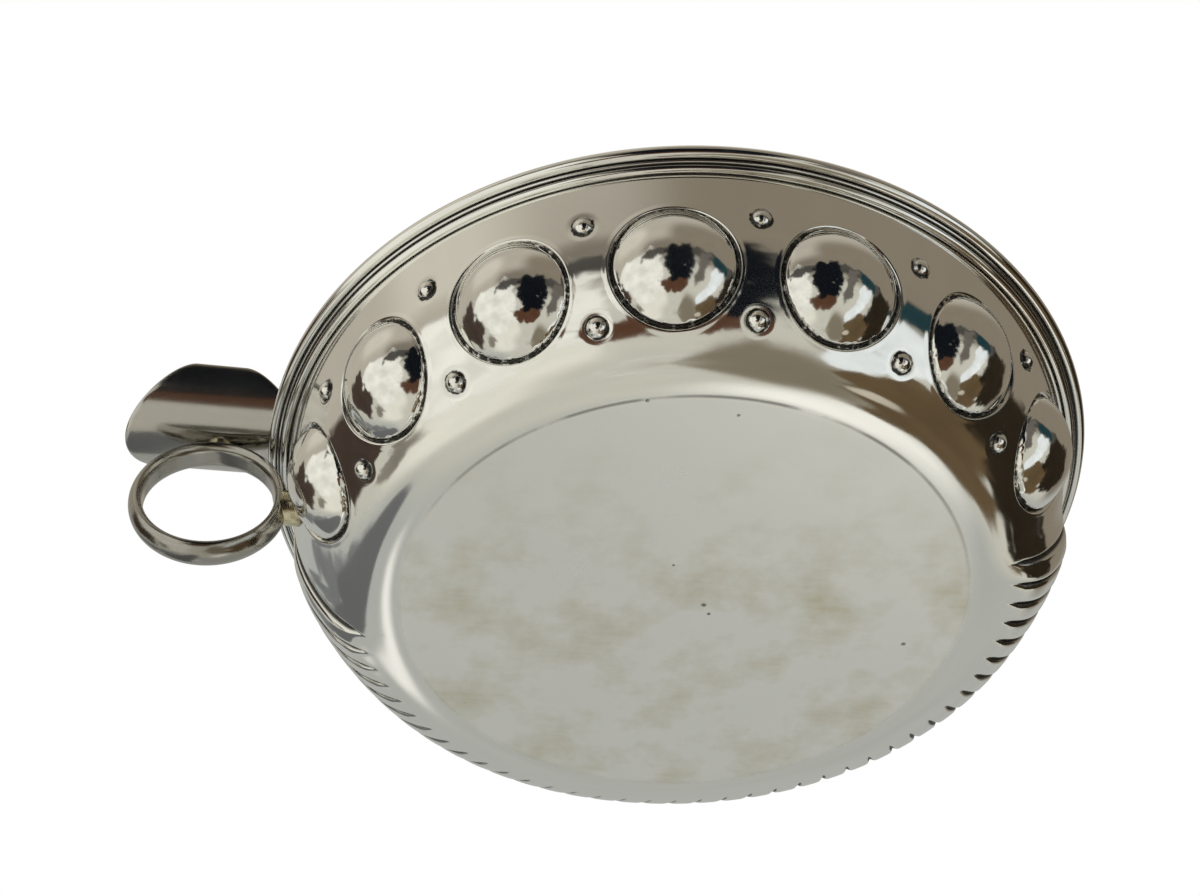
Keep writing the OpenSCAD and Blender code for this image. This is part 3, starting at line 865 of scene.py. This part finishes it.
# %% Stains, tarnish and painted shade
stain = add_node(tree, "ShaderNodeMapRange", {
    "Value": blotch, "From Min": 0.46, "From Max": 0.72, "To Max": 0.75}).outputs[0]
stain = add_node(tree, "ShaderNodeMath", {0: stain, 1: base}, operation="MULTIPLY").outputs[0]
streaks = add_node(tree, "ShaderNodeMapRange", {
    "Value": brush, "From Min": 0.3, "From Max": 0.7, "To Min": 0.75, "To Max": 1.12}).outputs[0]
stain = add_node(tree, "ShaderNodeMath", {0: stain, 1: streaks}, operation="MULTIPLY").outputs[0]
handled = add_node(tree, "ShaderNodeMapRange", {
    "Value": side, "From Min": -30 * MM, "From Max": -5 * MM, "To Min": 0.12}).outputs[0]
stain = add_node(tree, "ShaderNodeMath", {0: stain, 1: handled}, operation="MULTIPLY").outputs[0]
tone = add_node(tree, "ShaderNodeMix", {
    0: stain, 6: from_hex(SILVER), 7: from_hex(STAIN)}, data_type="RGBA").outputs[2]
# This attribute greys the finger ring and thumb rest: partly tarnish, partly painted shade on the thumb rest
dull = add_node(tree, "ShaderNodeAttribute", attribute_name="tarnish_and_shade").outputs["Fac"]
tone = add_node(tree, "ShaderNodeMix", {0: dull, 6: tone, 7: from_hex(TARNISH_AND_SHADE)}, data_type="RGBA").outputs[2]
tone = add_node(tree, "ShaderNodeMix", {0: line, 6: tone, 7: from_hex(OXIDE_AND_SHADE)}, data_type="RGBA").outputs[2]
tree.links.new(tone, shader.inputs["Base Color"])
shader.inputs["Metallic"].default_value = 1
print("with colours:", len(tree.nodes), "nodes")

# %% Gloss and bumps
wall_gloss = add_node(tree, "ShaderNodeMapRange", {
    "Value": haze, "From Min": 0.3, "From Max": 0.7, "To Min": 0.05, "To Max": 0.11}).outputs[0]
base_gloss = add_node(tree, "ShaderNodeMapRange", {
    "Value": haze, "From Min": 0.3, "From Max": 0.7, "To Min": 0.27, "To Max": 0.32}).outputs[0]
gloss = add_node(tree, "ShaderNodeMix", {0: base, 2: wall_gloss, 3: base_gloss}).outputs[0]
gloss = add_node(tree, "ShaderNodeMix", {0: dull, 2: gloss, 3: 0.22}).outputs[0]
gloss = add_node(tree, "ShaderNodeMix", {0: line, 2: gloss, 3: 0.45}).outputs[0]
tree.links.new(gloss, shader.inputs["Roughness"])

dents = add_node(tree, "ShaderNodeBump", {"Height": hammer, "Distance": 0.05 * MM}).outputs[0]
off_base = add_node(tree, "ShaderNodeMath", {0: 1.0, 1: base}, operation="SUBTRACT").outputs[0]
skin = add_node(tree, "ShaderNodeBump", {
    "Height": peel, "Distance": 0.0012 * MM, "Strength": off_base, "Normal": dents}).outputs[0]
tree.links.new(skin, shader.inputs["Normal"])
print("sterling silver:", len(tree.nodes), "nodes")

# %% Silver solder
# Hard solder: silver with brass in it, so yellower than the sheet, left satin and lumpy by the torch
SOLDER, SOLDER_DARK = "#DDD5B8", "#93896C"
LUMP_MM = 1.2

solder, tree, shader = new_material("silver_solder")
place = add_node(tree, "ShaderNodeTexCoord").outputs["Object"]
lumps = add_node(tree, "ShaderNodeTexNoise", {
    "Vector": place, "Scale": 1 / (LUMP_MM * MM), "Detail": 3.0}).outputs["Fac"]
dirt = add_node(tree, "ShaderNodeMapRange", {"Value": lumps, "From Min": 0.45, "From Max": 0.75}).outputs[0]
tone = add_node(tree, "ShaderNodeMix", {
    0: dirt, 6: from_hex(SOLDER), 7: from_hex(SOLDER_DARK)}, data_type="RGBA").outputs[2]
tree.links.new(tone, shader.inputs["Base Color"])
shader.inputs["Metallic"].default_value = 1
gloss = add_node(tree, "ShaderNodeMapRange", {"Value": lumps, "To Min": 0.12, "To Max": 0.32}).outputs[0]
tree.links.new(gloss, shader.inputs["Roughness"])
lumpy = add_node(tree, "ShaderNodeBump", {"Height": lumps, "Distance": 0.06 * MM}).outputs[0]
tree.links.new(lumpy, shader.inputs["Normal"])
print("silver solder:", len(tree.nodes), "nodes")

# %% Put the materials on
# Grey of the finger ring and thumb rest: partly tarnish, partly painted shade on the thumb rest
HANDLE_TARNISH_AND_SHADE = {ring: 0.75, rest: 0.5}
for piece, amount in HANDLE_TARNISH_AND_SHADE.items():
    tarnish_and_shade = piece.data.attributes.new("tarnish_and_shade", "FLOAT", "POINT")
    for dull in tarnish_and_shade.data:
        dull.value = amount
silver_pieces = {"bowl": bowl, "rim_moulding": moulding, "finger_ring": ring, "thumb_rest": rest}
for node, piece in silver_pieces.items():
    piece.data.materials.append(silver)
    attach(piece, "root")
    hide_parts(node)
for name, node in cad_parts.items():
    node.data.materials.clear()
    node.data.materials.append(silver if name in silver_pieces else solder)
print("pieces:", [piece.name for piece in silver_pieces.values()])

# %% [markdown]
# ## The room
# Photographers build a small room round a piece of silver, because the silver shows nothing else. Cards
# with soft or ragged edges stand far off in every direction, pale to the left and below, dark in front
# and to the right, and a small one stands by the handle. The camera never sees them. The floor shows
# only from above: from below, where this picture is taken, it lets the view through to the white
# backdrop.

# %% Cards of the room
# Turn, tilt, width, height and soft edge in degrees, and the card's colour; later cards stand nearer
SOFT_ROOM = {
    "card_ceiling": (0, 86, 360, 44, 10, "#CFCCC3"),
    "card_room_upper": (0, 32, 360, 86, 8, "#B4AEA2"),
    "card_room_lower": (0, -45, 360, 110, 8, "#C6C4B9"),
    "card_low_right": (80, -74, 150, 52, 24, "#7E7666"),
    "card_upper_glow": (-66, 40, 70, 56, 28, "#CFCABD"),
    "card_upper_low": (45, 8, 210, 56, 26, "#7D766A"),
    "card_upper_right": (72, 30, 200, 76, 34, "#857C6E"),
    "card_left_low": (-82, -54, 112, 54, 24, "#E4E2D6"),
    "card_back": (182, -8, 124, 114, 26, "#AFB1AD"),
    "card_back_glow": (146, -56, 56, 36, 20, "#FAF9F2"),
    "card_left_band": (-166, -34, 16, 32, 9, "#F4F3EE"),
}
CLUTTERED_ROOM = {
    "card_streak": (-140, -10, 26, 70, 14, "#7A7C7C"),
    "card_left_dark": (-106, -2, 54, 60, 17, "#463B34"),
    "card_left_mid": (-109, -36, 34, 28, 16, "#8C877B"),
    "card_left": (-60, -22, 84, 84, 20, "#F2F1E8"),
    "card_horizon": (34, 4, 190, 26, 15, "#504E49"),
    "card_front_brown": (-10, -46, 70, 38, 18, "#5A3E2E"),
    "card_right_grey": (33, -16, 34, 62, 18, "#6C6760"),
    "card_front_dark": (-3, -14, 62, 74, 24, "#0E1218"),
    "card_slate": (55, 3, 34, 26, 12, "#1F3A40"),
    "card_window": (57, -32, 30, 68, 13, "#F2F8FA"),
    "card_right_dark": (95, -11, 64, 66, 18, "#2A231A"),
    "card_right_brown": (99, -48, 80, 48, 18, "#62513A"),
    "card_right_glint": (97, -60, 22, 18, 10, "#C8C0AE"),
}
BY_THE_HANDLE = {"card_handle": (-157, -42, 36, 68, 14, "#6A6B6C")}
print("cards:", len(SOFT_ROOM), "soft,", len(CLUTTERED_ROOM) + len(BY_THE_HANDLE), "ragged")

# %% Paint of the cards
# Sizes in metres of the bays in a card's edge and of the washes in its colour, and where its edge lies
CLUTTER, WASH = 0.65, 0.7
CARD_EDGE = 0.45


def card_material(name, raggedness, sharpness):
    """Paint for cards: their edge wanders by the raggedness and fades fast with a high sharpness."""
    paint = bpy.data.materials.new(name)
    paint.use_nodes = True
    tree = paint.node_tree
    tree.nodes.clear()
    place = add_node(tree, "ShaderNodeTexCoord").outputs["Object"]
    clutter = add_node(tree, "ShaderNodeTexNoise", {
        "Vector": place, "Scale": 1 / CLUTTER, "Detail": 2.0}).outputs["Fac"]
    wash = add_node(tree, "ShaderNodeTexNoise", {
        "Vector": place, "Scale": 1 / WASH, "Detail": 2.0}).outputs["Fac"]
    cover = add_node(tree, "ShaderNodeAttribute", attribute_name="cover").outputs["Fac"]
    wander = add_node(tree, "ShaderNodeMapRange", {
        "Value": clutter, "To Min": -0.5 * raggedness, "To Max": 0.5 * raggedness}).outputs[0]
    edge = add_node(tree, "ShaderNodeMath", {0: cover, 1: wander}, operation="ADD").outputs[0]
    mask = add_node(tree, "ShaderNodeMapRange", {
        "Value": edge, "From Min": CARD_EDGE - 0.5 / sharpness, "From Max": CARD_EDGE + 0.5 / sharpness},
        interpolation_type="SMOOTHSTEP").outputs[0]
    colour = add_node(tree, "ShaderNodeObjectInfo").outputs["Color"]
    light = add_node(tree, "ShaderNodeMapRange", {
        "Value": wash, "From Min": 0.3, "From Max": 0.7,
        "To Min": 1 - 0.1 * raggedness, "To Max": 1.05}).outputs[0]
    glow = add_node(tree, "ShaderNodeEmission", {"Color": colour, "Strength": light}).outputs[0]
    clear = add_node(tree, "ShaderNodeBsdfTransparent").outputs[0]
    mixed = add_node(tree, "ShaderNodeMixShader", {0: mask, 1: clear, 2: glow}).outputs[0]
    add_node(tree, "ShaderNodeOutputMaterial", {"Surface": mixed})
    return paint


soft_card = card_material("soft_card", 0.2, 1.1)
cluttered_card = card_material("cluttered_card", 2.0, 3.5)
print("card paints:", soft_card.name, cluttered_card.name)

# %% Hang the cards
SOFT_DISTANCE, CARD_DISTANCE, HANDLE_DISTANCE = 3.6, 3.0, 0.1
CARD_STEP = 2.5
NEARER = 0.015
FULL_TURN = 360


def direction(turn, tilt):
    """Unit vector for a turn from the front towards +X and a tilt up from level, both in degrees."""
    turn, tilt = math.radians(turn), math.radians(tilt)
    return Vector((math.cos(tilt) * math.sin(turn), -math.cos(tilt) * math.cos(turn), math.sin(tilt)))


def hang_cards(cards, centre, distance, paint):
    """Hangs cards round a point, each a little nearer than the one before."""
    for order, (name, (turn, tilt, wide, tall, soft, colour)) in enumerate(cards.items()):
        bpy.ops.object.select_all(action="DESELECT")
        bpy.ops.mesh.primitive_grid_add(
            x_subdivisions=round(wide / CARD_STEP), y_subdivisions=round(tall / CARD_STEP), size=1)
        card = bpy.context.object
        card.name = name
        cover = card.data.attributes.new("cover", "FLOAT", "POINT")
        for vertex, share in zip(card.data.vertices, cover.data):
            x, y = vertex.co.x, vertex.co.y
            beside = 1 if wide == FULL_TURN else ease((0.5 - abs(x)) * wide / soft)
            share.value = beside * ease((0.5 - abs(y)) * tall / soft)
            aim = direction(turn + x * wide, tilt + y * tall)
            vertex.co = centre + aim * distance * (1 - NEARER * order)
        card.data.materials.append(paint)
        card.color = from_hex(colour)
        card.visible_camera = False
        card.visible_diffuse = False
        card.visible_transmission = False
        card.visible_shadow = False
        card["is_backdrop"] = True


hang_cards(SOFT_ROOM, Vector((0, 0, 0)), SOFT_DISTANCE, soft_card)
hang_cards(CLUTTERED_ROOM, Vector((0, 0, 0)), CARD_DISTANCE, cluttered_card)
hang_cards(BY_THE_HANDLE, Vector((-ring_x * MM, 0, BOWL_H * MM)), HANDLE_DISTANCE, cluttered_card)
print("cards hang", CARD_DISTANCE, "to", SOFT_DISTANCE, "m away, one by the handle", HANDLE_DISTANCE, "m")

# %% Floor
# The floor is a pale matt board that fades into the backdrop away from the object
FLOOR = "#E9E7E2"
FLOOR_SIZE, FLOOR_DROP = 4, 0.3 * MM
FADE_START, FADE_END = 0.25, 0.9
bpy.ops.object.select_all(action="DESELECT")
bpy.ops.mesh.primitive_plane_add(size=FLOOR_SIZE, location=(0, 0, -FLOOR_DROP))
floor = bpy.context.object
floor.name = "floor"
floor_paint, tree, shader = new_material("pale_floor")
shader.inputs["Base Color"].default_value = from_hex(FLOOR)
shader.inputs["Roughness"].default_value = 0.8
rays = add_node(tree, "ShaderNodeLightPath")
behind = add_node(tree, "ShaderNodeNewGeometry").outputs["Backfacing"]
above = add_node(tree, "ShaderNodeMath", {0: 1.0, 1: behind}, operation="SUBTRACT").outputs[0]
seen = add_node(tree, "ShaderNodeMath", {
    0: rays.outputs["Is Camera Ray"], 1: above}, operation="MULTIPLY").outputs[0]
spot = add_node(tree, "ShaderNodeTexCoord").outputs["Object"]
far = add_node(tree, "ShaderNodeVectorMath", {0: spot}, operation="LENGTH").outputs["Value"]
fade = add_node(tree, "ShaderNodeMapRange", {
    "Value": far, "From Min": FADE_END, "From Max": FADE_START}, interpolation_type="SMOOTHSTEP").outputs[0]
seen = add_node(tree, "ShaderNodeMath", {0: seen, 1: fade}, operation="MULTIPLY").outputs[0]
clear = add_node(tree, "ShaderNodeBsdfTransparent").outputs[0]
floor_mix = add_node(tree, "ShaderNodeMixShader", {0: seen, 1: clear, 2: shader.outputs[0]}).outputs[0]
tree.links.new(floor_mix, tree.nodes["Material Output"].inputs["Surface"])
floor.data.materials.append(floor_paint)
floor.visible_shadow = False
floor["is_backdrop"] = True
print("floor:", FLOOR_SIZE, "m wide, fades from", FADE_START, "m")

# %% Backdrop
BACKDROP_LIGHT, BACKDROP_WHITE = 0.6, 1.0
world = bpy.data.worlds.new("backdrop")
bpy.context.scene.world = world
world.use_nodes = True
tree = world.node_tree
rays = add_node(tree, "ShaderNodeLightPath").outputs
shown = add_node(tree, "ShaderNodeMath", {
    0: rays["Is Camera Ray"], 1: rays["Is Glossy Ray"]}, operation="MAXIMUM").outputs[0]
shown = add_node(tree, "ShaderNodeMath", {
    0: shown, 1: rays["Is Transmission Ray"]}, operation="MAXIMUM").outputs[0]
strength = add_node(tree, "ShaderNodeMapRange", {
    "Value": shown, "To Min": BACKDROP_LIGHT, "To Max": BACKDROP_WHITE}).outputs[0]
backdrop = tree.nodes["Background"]
backdrop.inputs["Color"].default_value = (1, 1, 1, 1)
tree.links.new(strength, backdrop.inputs["Strength"])
print("backdrop:", BACKDROP_WHITE, "as seen,", BACKDROP_LIGHT, "as light")

# %% Lamps
# Turn and tilt in degrees, distance and size in metres, and power in watts
LAMPS = {
    "key": ((-50, 48), 1.2, 0.5, 6),
    "fill": ((70, 35), 1.4, 0.6, 4),
    "under": ((-60, -40), 1.2, 0.4, 3),
}
for name, ((turn, tilt), distance, size, watts) in LAMPS.items():
    lamp = bpy.data.objects.new(name, bpy.data.lights.new(name, "AREA"))
    bpy.context.collection.objects.link(lamp)
    lamp.data.shape = "DISK"
    lamp.data.size = size
    lamp.data.energy = watts
    lamp.visible_glossy = False
    aim = direction(turn, tilt)
    lamp.matrix_world = Matrix.Translation(aim * distance) @ aim.to_track_quat("Z", "Y").to_matrix().to_4x4()
print("lamps:", list(LAMPS))

# %% [markdown]
# ## The view
# The camera stands below the bowl and looks up at its base and its domed wall. Its place was worked out
# from the ellipse of the rim and the places of the domes, and is written here as a tilt, a roll and a
# distance.

# %% Camera
PHOTO_W = 1200
SENSOR_W = 36
FOCAL_PX = 1800
RIM_R = 55.0
TILT = math.radians(-47.26)
ROLL = math.radians(-1.27)
DISTANCE = 4.3505 * RIM_R
SIDE, RISE = -0.1897 * RIM_R, 0.2064 * RIM_R
TARGET = Vector((0, 0, 0.25 * RIM_R))
SWING = Matrix.Rotation(math.radians(-7.93), 3, "Z")

back = Vector((0, -math.cos(TILT), math.sin(TILT)))
right = Vector((1, 0, 0))
up = back.cross(right)
cam_right = math.cos(ROLL) * right + math.sin(ROLL) * up
cam_up = -math.sin(ROLL) * right + math.cos(ROLL) * up
cam_place = SWING @ (TARGET + DISTANCE * back + SIDE * cam_right + RISE * cam_up)
turned = Matrix((SWING @ cam_right, SWING @ cam_up, SWING @ back)).transposed()
camera = bpy.data.objects.new("camera", bpy.data.cameras.new("camera"))
bpy.context.collection.objects.link(camera)
camera.matrix_world = Matrix.Translation(cam_place * MM) @ turned.to_4x4()
camera.data.sensor_width = SENSOR_W
camera.data.lens = SENSOR_W * FOCAL_PX / PHOTO_W
camera.data.clip_start = 0.01
bpy.context.scene.camera = camera
print("camera", round(DISTANCE), "mm away, lens", round(camera.data.lens, 1), "mm")

# %% [markdown]
# ## Finish
# The colours are shown as they are written, and the box of the finished model is printed.

# %% Finish
bpy.context.scene.view_settings.view_transform = "Standard"
low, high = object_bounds()
print("visual box in mm:", [round(1000 * side, 1) for side in high - low])
